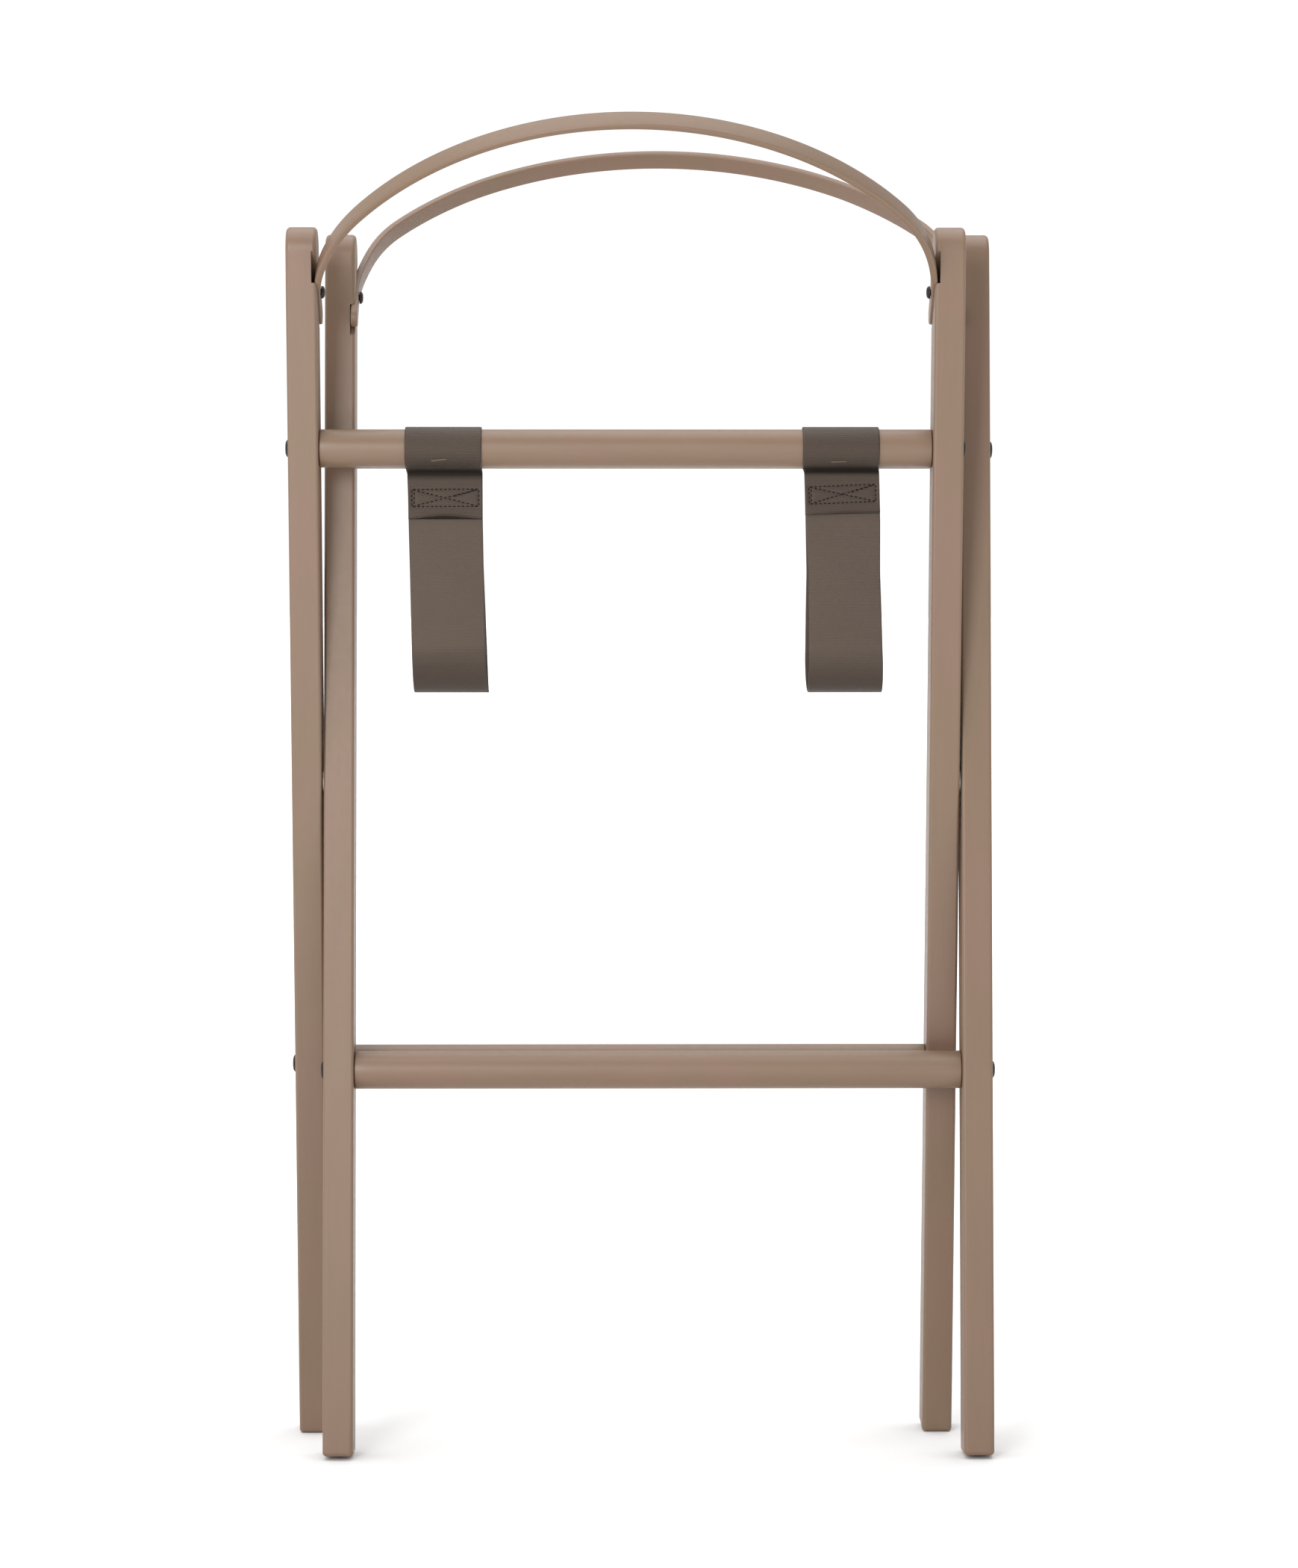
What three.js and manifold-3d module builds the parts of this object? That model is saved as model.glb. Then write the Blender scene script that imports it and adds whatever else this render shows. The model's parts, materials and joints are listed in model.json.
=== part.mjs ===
// Folding luggage rack: two identical wooden frames crossed on a pair of blind pivot pins, joined by two
// hanging webbing straps. Millimetres, +X right, +Y away from the front, +Z up, origin on the floor below
// the pivot axis. The rack stands almost folded, as it is put away.
//
// Each frame is drawn in its own axes: the pivot is the origin, z runs up the legs, y across their depth.
// The back frame is the front frame turned half a turn about the vertical.

import * as THREE from 'three';
import { mergeVertices } from 'three/addons/utils/BufferGeometryUtils.js';
import Module from 'manifold-3d';

const wasm = await Module();
wasm.setup();

// Running clearance between pieces that touch on the real rack.
const GAP = 0.3;

// Stance
const TILT = THREE.MathUtils.degToRad(5.65);
const LEG_SPACING = 1.2;

// Legs
const FRAME_WIDTH = 441;
const LEG_THICKNESS = 20;
const LEG_DEPTH = 30;
const LEG_ABOVE_PIVOT = 364;
const LEG_BELOW_PIVOT = 444;
const LEG_EDGE_ROUND = 2;
const FOOT_ROUND = 3;

// Round bars, measured along the leg from the pivot
const BAR_RADIUS = 12.5;
const UPPER_BAR = 220.3;
const LOWER_BAR = -191.3;
const BAR_SIDES = 48;

// Bar bolts and the threaded inserts in the bar ends
const BOLT_RADIUS = 3;
const BOLT_HEAD_RADIUS = 5.8;
const BOLT_HEAD_HEIGHT = 2.2;
const BOLT_REACH = 12;
const INSERT_RADIUS = 5;
const INSERT_LENGTH = 14;

// Bent arch strip and its screws
const ARCH_LEAN = THREE.MathUtils.degToRad(41.5);
const ARCH_SCREW = 322;
const ARCH_STRIP_WIDTH = 13;
const ARCH_STRIP_THICKNESS = 4.4;
const ARCH_EDGE_ROUND = 0.8;
const ARCH_RISE = 150;
const ARCH_CROWN_RADIUS = 235;
const ARCH_TAIL = 26.5;
const ARCH_SHOULDER = -2;
const ARCH_INSET = 2.7;
const HOUSING_DEPTH = 3.3;
const SCREW_RADIUS = 2;
const SCREW_HEAD_RADIUS = 4.2;
const SCREW_HEAD_HEIGHT = 2.4;
const SCREW_REACH = 12;
const SCREW_STANDOFF = 0.55;

// Pivot pins and washers
const PIN_RADIUS = 4;
const PIN_REACH = 14.5;
const WASHER_RADIUS = 10;

// Webbing straps, measured from the bar's axis
const STRAP_WIDTH = 50;
const STRAP_THICKNESS = 1.4;
const STRAP_OFFSET = 130;
const STRAP_DROP = 160;
const SLEEVE_CLOSES = 16;
const FLAP_END = 46;

// Staples. Each was shot by hand, so its place, its tilt and its angle round the bar differ a little.
const STAPLE_WIDTH = 11;
const STAPLE_WIRE = 1.3;
const STAPLE_CROWN = 0.6;
const STAPLE_LEG = 8;
const STAPLE_PLACES = {
  left: { shift: -2.8, tilt: 7, angle: 213 },
  right: { shift: -1.3, tilt: 3, angle: 218 },
};

// Worked out from the sizes above
const SIDE_OFFSET = LEG_THICKNESS + LEG_SPACING;
const INNER_FACE = FRAME_WIDTH / 2 - LEG_THICKNESS;
const FOOT_REACH = (LEG_BELOW_PIVOT - FOOT_ROUND) * Math.cos(TILT);
const FOOT_TOE = (LEG_DEPTH / 2 - FOOT_ROUND) * Math.sin(TILT);
const PIVOT_HEIGHT = FOOT_REACH + FOOT_TOE + FOOT_ROUND;
const ARCH_HALF_SPAN = INNER_FACE + ARCH_INSET;
const BAR_OUT = UPPER_BAR * Math.sin(TILT);
const BEND_RADIUS = BAR_OUT - STRAP_THICKNESS / 2;
const RUN_LENGTH = STRAP_DROP - BEND_RADIUS;

const WOOD = { color: 0x9c8473, roughness: 0.5, metalness: 0 };
const DARK_STEEL = { color: 0x2b2522, roughness: 0.4, metalness: 0.9 };
const ZINC = { color: 0xb9b5ab, roughness: 0.35, metalness: 1 };
const BRONZE_WIRE = { color: 0x5d5045, roughness: 0.45, metalness: 0.9 };
const WEBBING = { color: 0x6a5f56, roughness: 0.85, metalness: 0 };

// --- Solids ------------------------------------------------------------------------------------------

function toSolid(geometry) {
  const bare = geometry.clone();
  bare.deleteAttribute('normal');
  bare.deleteAttribute('uv');
  const merged = mergeVertices(bare, 1e-4);
  return new wasm.Manifold(new wasm.Mesh({
    numProp: 3,
    vertProperties: merged.attributes.position.array,
    triVerts: Uint32Array.from(merged.index.array),
  }));
}

function toGeometry(solid) {
  const mesh = solid.getMesh();
  const geometry = new THREE.BufferGeometry();
  geometry.setAttribute('position', new THREE.BufferAttribute(mesh.vertProperties, 3));
  geometry.setIndex(new THREE.BufferAttribute(mesh.triVerts, 1));
  return geometry;
}

function cut(geometry, ...tools) {
  return toGeometry(tools.reduce((solid, tool) => solid.subtract(toSolid(tool)), toSolid(geometry)));
}

function join(geometry, ...others) {
  return toGeometry(others.reduce((solid, other) => solid.add(toSolid(other)), toSolid(geometry)));
}

function arc(centreX, centreY, radius, from, to, steps) {
  return Array.from({ length: steps + 1 }, (_, i) => {
    const angle = from + (to - from) * i / steps;
    return new THREE.Vector2(centreX + radius * Math.cos(angle), centreY + radius * Math.sin(angle));
  });
}

// An outline in the YZ plane, drawn from x = from to x = to, with its end edges rounded.
function extrudeAlongX(outline, from, to, round = 0, hole = null) {
  const shape = new THREE.Shape(outline);
  if (hole) {
    shape.holes.push(new THREE.Path(hole));
  }
  const geometry = new THREE.ExtrudeGeometry(shape, {
    depth: to - from - 2 * round,
    bevelEnabled: round > 0,
    bevelThickness: round,
    bevelSize: round,
    bevelOffset: -round,
    bevelSegments: 2,
  });
  geometry.translate(0, 0, from + round);
  const axes = new THREE.Matrix4().makeBasis(
    new THREE.Vector3(0, 1, 0), new THREE.Vector3(0, 0, 1), new THREE.Vector3(1, 0, 0));
  return geometry.applyMatrix4(axes);
}

function rodAlongX(radius, from, to, y, z, sides) {
  const geometry = new THREE.CylinderGeometry(radius, radius, to - from, sides);
  geometry.rotateZ(Math.PI / 2);
  return geometry.translate((from + to) / 2, y, z);
}

// A turned piece whose profile is given as [distance along +X, radius] pairs.
function turnedAlongX(profile, sides) {
  const points = profile.map(([along, radius]) => new THREE.Vector2(radius, along));
  return new THREE.LatheGeometry(points, sides).rotateZ(-Math.PI / 2);
}

function piece(name, geometry, look) {
  const mesh = new THREE.Mesh(geometry, new THREE.MeshStandardMaterial(look));
  mesh.name = name;
  return mesh;
}

// --- Legs and bars -----------------------------------------------------------------------------------

function legOutline() {
  const half = LEG_DEPTH / 2;
  const toe = half - FOOT_ROUND;
  const sole = FOOT_ROUND - LEG_BELOW_PIVOT;
  return [
    ...arc(-toe, sole, FOOT_ROUND, Math.PI, 1.5 * Math.PI, 4),
    ...arc(toe, sole, FOOT_ROUND, 1.5 * Math.PI, 2 * Math.PI, 4),
    ...arc(0, LEG_ABOVE_PIVOT - half, half, 0, Math.PI, 20),
  ];
}

// The slanted slot in a leg's inner face that the arch strip is let into.
function housing(side) {
  const width = ARCH_STRIP_WIDTH + 2 * GAP;
  const slot = new THREE.BoxGeometry(2 * HOUSING_DEPTH, width, 4 * LEG_DEPTH);
  slot.rotateX(ARCH_LEAN);
  return slot.translate(side * INNER_FACE, 0, ARCH_SCREW);
}

// side is -1 for the leg on the outside of the crossing and 1 for the leg on its inside.
function legGeometry(side) {
  const centre = side * (INNER_FACE + LEG_THICKNESS / 2);
  const low = centre - LEG_THICKNESS / 2;
  const high = centre + LEG_THICKNESS / 2;
  const screwFrom = side * INNER_FACE;
  const screwTo = side * (ARCH_HALF_SPAN + SCREW_REACH + GAP);
  return cut(
    extrudeAlongX(legOutline(), low, high, LEG_EDGE_ROUND),
    rodAlongX(BOLT_RADIUS + GAP, low - 1, high + 1, 0, UPPER_BAR, 16),
    rodAlongX(BOLT_RADIUS + GAP, low - 1, high + 1, 0, LOWER_BAR, 16),
    rodAlongX(PIN_RADIUS + GAP, high - PIN_REACH - GAP, high + 1, 0, 0, 20),
    rodAlongX(SCREW_RADIUS + GAP, Math.min(screwFrom, screwTo), Math.max(screwFrom, screwTo), 0, ARCH_SCREW, 12),
    housing(side),
  );
}

// stapleHoles are cutters in the frame's axes, for the staples driven into the upper bar.
function barGeometry(height, stapleHoles = []) {
  const end = INNER_FACE - GAP;
  const bore = INSERT_LENGTH + 2 * GAP;
  return cut(
    rodAlongX(BAR_RADIUS, -end, end, 0, height, BAR_SIDES),
    rodAlongX(INSERT_RADIUS + GAP, -end - 1, -end + bore, 0, height, 20),
    rodAlongX(INSERT_RADIUS + GAP, end - bore, end + 1, 0, height, 20),
    ...stapleHoles,
  );
}

// --- Fasteners ---------------------------------------------------------------------------------------

// A domed head with a hexagon socket, on a plain shank along -X; the head's underside is at x = 0.
function socketScrewGeometry(headRadius, headHeight, shankRadius, shankLength) {
  const screw = turnedAlongX([
    [-shankLength, 0],
    [-shankLength, shankRadius],
    [0, shankRadius],
    [0, headRadius],
    [headHeight * 0.25, headRadius],
    [headHeight * 0.68, headRadius * 0.76],
    [headHeight * 0.93, headRadius * 0.45],
    [headHeight, 0],
  ], 18);
  const socket = rodAlongX(headRadius * 0.4, headHeight * 0.2, headHeight + 1, 0, 0, 6);
  return cut(screw, socket);
}

function insertGeometry() {
  return turnedAlongX([
    [0, BOLT_RADIUS + GAP],
    [0, INSERT_RADIUS],
    [INSERT_LENGTH, INSERT_RADIUS],
    [INSERT_LENGTH, BOLT_RADIUS + GAP],
    [0, BOLT_RADIUS + GAP],
  ], 16);
}

function addBarFasteners(group, name, level, height) {
  for (const [label, side] of [['outer', -1], ['inner', 1]]) {
    const shank = LEG_THICKNESS + BOLT_REACH;
    const bolt = piece(
      `${name}_${level}_bolt_${label}`,
      socketScrewGeometry(BOLT_HEAD_RADIUS, BOLT_HEAD_HEIGHT, BOLT_RADIUS, shank),
      DARK_STEEL,
    );
    bolt.position.set(side * (INNER_FACE + LEG_THICKNESS + GAP), 0, height);
    bolt.rotation.z = side < 0 ? Math.PI : 0;
    const insert = piece(`${name}_${level}_insert_${label}`, insertGeometry(), ZINC);
    insert.position.set(side * (INNER_FACE - 2 * GAP), 0, height);
    insert.rotation.z = side < 0 ? 0 : Math.PI;
    group.add(bolt, insert);
  }
}

function addPivot(group, side) {
  const start = -INNER_FACE - PIN_REACH;
  const end = -INNER_FACE + LEG_SPACING + PIN_REACH;
  const pin = piece(`pivot_pin_${side}`, rodAlongX(PIN_RADIUS, start, end, 0, 0, 20), ZINC);
  const washer = piece(`pivot_washer_${side}`, turnedAlongX([
    [GAP, PIN_RADIUS + GAP],
    [GAP, WASHER_RADIUS],
    [LEG_SPACING - GAP, WASHER_RADIUS],
    [LEG_SPACING - GAP, PIN_RADIUS + GAP],
    [GAP, PIN_RADIUS + GAP],
  ], 24), ZINC);
  washer.position.x = -INNER_FACE;
  group.add(pin, washer);
}

// --- Arch --------------------------------------------------------------------------------------------

// Half of one face of the strip, from its tail up to the crown: a straight tail, a shoulder arc and a
// flatter crown arc that meet in a common tangent. inset moves it from the outer to the inner face.
function archFace(inset) {
  const crownCentre = ARCH_RISE - ARCH_CROWN_RADIUS;
  const drop = ARCH_SHOULDER - crownCentre;
  const shoulderRadius = (ARCH_CROWN_RADIUS ** 2 - ARCH_HALF_SPAN ** 2 - drop ** 2)
    / (2 * (ARCH_CROWN_RADIUS - ARCH_HALF_SPAN));
  const shoulderCentre = ARCH_HALF_SPAN - shoulderRadius;
  const meet = Math.atan2(drop, shoulderCentre);
  return [
    new THREE.Vector2(ARCH_HALF_SPAN - inset, -ARCH_TAIL),
    ...arc(shoulderCentre, ARCH_SHOULDER, shoulderRadius - inset, 0, meet, 10),
    ...arc(0, crownCentre, ARCH_CROWN_RADIUS - inset, meet, Math.PI / 2, 10).slice(1),
  ];
}

function mirrored(points) {
  return points.slice(0, -1).reverse().map((p) => new THREE.Vector2(-p.x, p.y));
}

function archGeometry() {
  const outer = archFace(0);
  const inner = archFace(ARCH_STRIP_THICKNESS);
  const outline = [...outer, ...mirrored(outer), ...[...inner, ...mirrored(inner)].reverse()];
  const strip = new THREE.ExtrudeGeometry(new THREE.Shape(outline), {
    depth: ARCH_STRIP_WIDTH - 2 * ARCH_EDGE_ROUND,
    bevelThickness: ARCH_EDGE_ROUND,
    bevelSize: ARCH_EDGE_ROUND,
    bevelOffset: -ARCH_EDGE_ROUND,
    bevelSegments: 1,
  });
  strip.translate(0, 0, ARCH_EDGE_ROUND - ARCH_STRIP_WIDTH / 2);
  strip.rotateX(Math.PI / 2);
  const half = ARCH_STRIP_WIDTH / 2;
  const roundTails = extrudeAlongX([
    ...arc(0, half - ARCH_TAIL, half, Math.PI, 2 * Math.PI, 12),
    new THREE.Vector2(half, ARCH_RISE + half),
    new THREE.Vector2(-half, ARCH_RISE + half),
  ], -FRAME_WIDTH / 2, FRAME_WIDTH / 2);
  const holes = rodAlongX(SCREW_RADIUS + GAP, -FRAME_WIDTH / 2, FRAME_WIDTH / 2, 0, 0, 12);
  return toGeometry(toSolid(strip).intersect(toSolid(roundTails)).subtract(toSolid(holes)));
}

function addArch(group, name) {
  const arch = piece(`${name}_arch`, archGeometry(), WOOD);
  arch.position.z = ARCH_SCREW;
  arch.rotation.x = ARCH_LEAN;
  group.add(arch);
  for (const [label, side] of [['outer', -1], ['inner', 1]]) {
    const screw = piece(
      `${name}_arch_screw_${label}`,
      socketScrewGeometry(SCREW_HEAD_RADIUS, SCREW_HEAD_HEIGHT, SCREW_RADIUS, SCREW_REACH),
      DARK_STEEL,
    );
    const seat = ARCH_HALF_SPAN - ARCH_STRIP_THICKNESS - SCREW_STANDOFF;
    screw.position.set(side * seat, 0, ARCH_SCREW);
    screw.rotation.z = side < 0 ? 0 : Math.PI;
    group.add(screw);
  }
}

// --- Straps ------------------------------------------------------------------------------------------

// One half of a strap, seen from the side. The origin is the bar's axis, z runs back up the strap and y
// points to the other frame. The end is turned round the bar and sewn down on the outside as a flap. The
// other end bends a quarter turn to the middle of the rack, where it meets the other half.

// The angle, about the bar, where a line from (y, z) outside a circle touches it on the -y side.
function tangentAngle(y, z, radius) {
  return Math.atan2(z, y) - Math.acos(radius / Math.hypot(y, z));
}

function runGeometry() {
  const t = STRAP_THICKNESS;
  const inside = BAR_RADIUS + GAP;
  const outside = inside + t;
  const left = tangentAngle(-t, -SLEEVE_CLOSES, outside) + 2 * Math.PI;
  const loopEnd = t - SLEEVE_CLOSES;
  const leftInside = tangentAngle(0, loopEnd, inside) + 2 * Math.PI;
  const outline = [
    new THREE.Vector2(0, -RUN_LENGTH + GAP / 2),
    new THREE.Vector2(t, -RUN_LENGTH + GAP / 2),
    new THREE.Vector2(t, -SLEEVE_CLOSES),
    ...arc(0, 0, outside, 3 * Math.PI - left - 2 * Math.PI, left, 40),
    new THREE.Vector2(-t, -SLEEVE_CLOSES),
    new THREE.Vector2(-t, -FLAP_END),
    new THREE.Vector2(0, -FLAP_END),
  ];
  const hole = [
    new THREE.Vector2(0, loopEnd),
    ...arc(0, 0, inside, Math.PI - leftInside, leftInside, 40),
  ];
  return extrudeAlongX(outline, -STRAP_WIDTH / 2, STRAP_WIDTH / 2, 0, hole);
}

// One eighth of the loop at the bottom: from and to are angles about the loop's axis.
function bendGeometry(from, to) {
  const margin = GAP / 2 / BEND_RADIUS;
  const half = STRAP_THICKNESS / 2;
  return extrudeAlongX([
    ...arc(BAR_OUT, -RUN_LENGTH, BEND_RADIUS + half, from + margin, to - margin, 6),
    ...arc(BAR_OUT, -RUN_LENGTH, BEND_RADIUS - half, to - margin, from + margin, 6),
  ], -STRAP_WIDTH / 2, STRAP_WIDTH / 2);
}

// A staple whose crown lies on the sleeve; grow widens it into the cutter for its own slots.
function stapleGeometry({ shift, tilt, angle }, grow = 0) {
  const surface = BAR_RADIUS + GAP + STRAP_THICKNESS + GAP;
  const tall = STAPLE_CROWN + 2 * grow;
  const wide = STAPLE_WIRE + 2 * grow;
  const leg = STAPLE_LEG + 2 * grow;
  const crown = new THREE.BoxGeometry(STAPLE_WIDTH + 2 * grow, tall, wide);
  crown.translate(0, surface + STAPLE_CROWN / 2, 0);
  const legs = [-1, 1].map((side) => {
    const wire = new THREE.BoxGeometry(tall, leg, wide);
    const across = side * (STAPLE_WIDTH - STAPLE_CROWN) / 2;
    return wire.translate(across, surface + STAPLE_CROWN - STAPLE_LEG / 2, 0);
  });
  const staple = join(crown, ...legs);
  staple.rotateY(THREE.MathUtils.degToRad(tilt));
  return staple.rotateX(THREE.MathUtils.degToRad(angle)).translate(shift, 0, 0);
}

// The straps' side names run left to right for someone who faces the front of the rack.
function strapSides(turned) {
  return [['left', turned ? STRAP_OFFSET : -STRAP_OFFSET], ['right', turned ? -STRAP_OFFSET : STRAP_OFFSET]];
}

function addStraps(group, name, turned) {
  for (const [side, across] of strapSides(turned)) {
    const place = STAPLE_PLACES[side];
    const strap = new THREE.Group();
    strap.add(
      piece(`strap_${side}_${name}`, cut(runGeometry(), stapleGeometry(place, GAP)), WEBBING),
      piece(`strap_${side}_${name}_bend_upper`, bendGeometry(Math.PI, 1.25 * Math.PI), WEBBING),
      piece(`strap_${side}_${name}_bend_lower`, bendGeometry(1.25 * Math.PI, 1.5 * Math.PI), WEBBING),
      piece(`staple_${side}_${name}`, stapleGeometry(place), BRONZE_WIRE),
    );
    strap.position.set(across, -BAR_OUT, PIVOT_HEIGHT + UPPER_BAR * Math.cos(TILT));
    group.add(strap);
  }
}

// The slots that the staples need in the upper bar, in the frame's own axes.
function stapleHoles(turned) {
  return strapSides(turned).map(([side, across]) => {
    const hole = stapleGeometry(STAPLE_PLACES[side], GAP).rotateX(-TILT);
    return hole.translate(across + SIDE_OFFSET / 2, 0, UPPER_BAR);
  });
}

// --- Frames ------------------------------------------------------------------------------------------

function foldingFrame(name, pivotSide, turned) {
  const frame = new THREE.Group();
  frame.add(
    piece(`${name}_leg_outer`, legGeometry(-1), WOOD),
    piece(`${name}_leg_inner`, legGeometry(1), WOOD),
    piece(`${name}_upper_bar`, barGeometry(UPPER_BAR, stapleHoles(turned)), WOOD),
    piece(`${name}_lower_bar`, barGeometry(LOWER_BAR), WOOD),
  );
  addBarFasteners(frame, name, 'upper', UPPER_BAR);
  addBarFasteners(frame, name, 'lower', LOWER_BAR);
  addArch(frame, name);
  addPivot(frame, pivotSide);
  frame.position.set(-SIDE_OFFSET / 2, 0, PIVOT_HEIGHT);
  frame.rotation.x = TILT;
  return frame;
}

function rackHalf(name, pivotSide, turned) {
  const group = new THREE.Group();
  group.add(foldingFrame(name, pivotSide, turned));
  addStraps(group, name, turned);
  group.rotation.z = turned ? Math.PI : 0;
  return group;
}

const rack = new THREE.Group();
rack.add(rackHalf('front', 'left', false), rackHalf('back', 'right', true));

export default rack;
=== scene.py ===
import json
import math
import random

import bmesh
import bpy
import numpy as np
from mathutils import Matrix, Vector


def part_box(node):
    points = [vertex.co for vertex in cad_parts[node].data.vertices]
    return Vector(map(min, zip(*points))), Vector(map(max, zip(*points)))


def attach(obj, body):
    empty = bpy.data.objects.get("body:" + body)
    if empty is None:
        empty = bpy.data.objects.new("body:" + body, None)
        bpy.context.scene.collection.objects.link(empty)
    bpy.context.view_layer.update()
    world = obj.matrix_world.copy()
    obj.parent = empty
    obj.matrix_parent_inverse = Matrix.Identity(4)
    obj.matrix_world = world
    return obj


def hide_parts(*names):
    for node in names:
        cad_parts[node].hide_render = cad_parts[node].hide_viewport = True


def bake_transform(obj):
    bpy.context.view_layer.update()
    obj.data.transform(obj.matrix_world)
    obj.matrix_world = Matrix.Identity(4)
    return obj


# Looks of the folding luggage rack: lacquered wooden frames, bent arches, webbing straps and their fixings.
#
# Sizes are named in millimetres and turned into metres where a mesh is made. A frame's pieces are drawn in
# that frame's own axes: the origin on the pivot, x along the bars, y across the legs' depth, z up the legs.
# Straps are drawn in axes whose origin is the upper bar's axis, with y towards the other frame.

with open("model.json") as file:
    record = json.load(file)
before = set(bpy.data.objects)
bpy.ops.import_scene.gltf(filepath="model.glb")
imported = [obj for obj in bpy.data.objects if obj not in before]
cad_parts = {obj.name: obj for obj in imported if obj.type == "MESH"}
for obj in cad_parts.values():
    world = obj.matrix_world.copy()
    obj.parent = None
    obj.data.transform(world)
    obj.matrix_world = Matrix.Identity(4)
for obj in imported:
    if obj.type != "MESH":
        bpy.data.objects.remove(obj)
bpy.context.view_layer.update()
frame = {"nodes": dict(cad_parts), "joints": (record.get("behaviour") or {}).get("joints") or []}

MM = 0.001

# Wood
LEG_EDGE_ROUND = 2.0
LEG_END_ROUND = 2.8
LEG_ROUND_FADES_OVER = 30.0
FOOT_ROUND = 3.0
BAR_RADIUS = 12.5
BAR_END_ROUND = 0.8
ARCH_THICKNESS = 4.4
ARCH_CORNER_ROUND = 1.1
ARCH_CROWN_RADIUS = 235.0
ARCH_TAIL = 26.5
ARCH_TAIL_ROUND = 6.5
ARCH_SHOULDER = -2.0
# Each arch's own unevenness: none below the height "stiff" over its screws, all of it from ARCH_FREE_FROM up.
ARCH_FREE_FROM = 75.0
ARCH_BENDS = {
    "front": {"sway": 3.4, "widen": 0.0, "lift": 0.0, "stiff": 0.0},
    "back": {"sway": -1.8, "widen": 4.8, "lift": 0.8, "stiff": 25.0},
}
HOUSING_DEPTH = 3.3
HOUSING_CLEARANCE = 0.3
HOUSING_EDGE_ROUND = 0.3

# Fixings
BOLT_SOCKET = 2.3
BOLT_SEAT_ROUND = 0.5
SCREW_SOCKET = 1.6
SCREW_SEAT_ROUND = 0.35
STAPLE_WIDTH = 11.0
STAPLE_WIRE = 1.3
STAPLE_CROWN = 0.6
STAPLE_LEG = 8.0
STAPLE_BEND = 0.9
STAPLE_SINKS = 0.1
STAPLE_PLACES = {
    "left": {"shift": -2.8, "tilt": 7.0, "angle": 213.0},
    "right": {"shift": -1.3, "tilt": 3.0, "angle": 218.0},
}

# Webbing
WEB_WIDTH = 50.0
WEB_SPACING = 1.4
WEB_THICKNESS = 1.3
WEB_COLUMNS = 62
SELVEDGE_ROUND = 0.7
SLEEVE_GAP = 0.3
SLEEVE_CLOSES = 16.0
SLEEVE_ROUND = 4.0
SEWN_LENGTH = 26.0
SEWN_NARROWING = 0.026
FLAP_LIFT = 0.75
FLAP_LIFT_LENGTH = 7.5
FLAP_FRAY_LENGTH = 6.0
STRAP_DROP = 160.0
STRAP_CUP = 0.35
BOW_ENDS = STRAP_DROP + 12
TONGUE_LENGTH = 6.0
TONGUE_WIDTH_SHARE = 0.985
# Shifts are sideways, at five heights from the bar to below the loop; slim is in shares of SEWN_NARROWING.
STRAPS = {
    "left": {
        "flap_end": 45.2, "wave": 1.0, "slant": 0.0, "box_top": 26.6, "box_slant": 0.3,
        "slim": (1.15, 1.15, 1.15),
        "shifts": {"front": (0.0, 1.0, 1.2, 3.1, 3.7), "back": (-2.0, -1.4, -0.6, 3.0, 4.6)},
        "bow": 3.2, "bow_from": 131.8, "bow_slant": 4.0, "bow_softness": 1, "seed": 3,
    },
    "right": {
        "flap_end": 42.5, "wave": 0.3, "slant": 1.4, "box_top": 23.3, "box_slant": 1.9,
        "slim": (2.2, 1.6, 0.7),
        "shifts": {"front": (0.0, 1.0, 2.0, 4.3, 4.4), "back": (2.7, 2.9, 3.6, 3.3, 4.4)},
        "bow": 2.6, "bow_from": 107.0, "bow_slant": 0.0, "bow_softness": 2, "seed": 8,
    },
}
BOX_HEIGHT = 11.2
BOX_INSET = 2.6
STITCH_PITCH = 3.0
THREAD_RADIUS = 0.42
PUCKER_DEPTH = 0.34
PUCKER_SWELL = 0.12


# --- Meshes ------------------------------------------------------------------------------------------

def loft(name, tubes, material, axes=None):
    """Closed tubes, each through rings of equally many points in millimetres, with the end rings filled."""
    points, faces = [], []
    for rings in tubes:
        rings = np.asarray(rings, float)
        stations, around = rings.shape[:2]
        first = sum(len(p) for p in points)
        last = first + (stations - 1) * around
        for ring in range(first, last, around):
            for j in range(around):
                k = (j + 1) % around
                faces.append((ring + j, ring + k, ring + around + k, ring + around + j))
        faces.append(tuple(range(first, first + around)))
        faces.append(tuple(reversed(range(last, last + around))))
        points.append(rings.reshape(-1, 3))
    mesh = bpy.data.meshes.new(name)
    mesh.from_pydata((np.concatenate(points) * MM).tolist(), [], faces)
    return place(name, mesh, material, axes)


def place(name, mesh, material, axes=None):
    """An object of this mesh, with its faces pointing out, shaded smooth except at sharp edges."""
    shape = bmesh.new()
    shape.from_mesh(mesh)
    bmesh.ops.recalc_face_normals(shape, faces=shape.faces)
    shape.to_mesh(mesh)
    shape.free()
    mesh.shade_smooth()
    mesh.set_sharp_from_angle(angle=math.radians(35))
    if not mesh.materials:
        mesh.materials.append(material)
    piece = bpy.data.objects.new(name, mesh)
    bpy.context.scene.collection.objects.link(piece)
    piece.matrix_world = axes or Matrix.Identity(4)
    return piece


def applied(piece):
    """The piece with its modifiers turned into mesh."""
    bpy.context.view_layer.update()
    evaluated = piece.evaluated_get(bpy.context.evaluated_depsgraph_get())
    mesh = bpy.data.meshes.new_from_object(evaluated)
    name, axes = piece.name, piece.matrix_world.copy()
    bpy.data.objects.remove(piece)
    return place(name, mesh, mesh.materials[0], axes)


def points_of(mesh):
    """The mesh's vertices as an array, in metres."""
    flat = np.zeros(len(mesh.vertices) * 3)
    mesh.vertices.foreach_get("co", flat)
    return flat.reshape(-1, 3)


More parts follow.
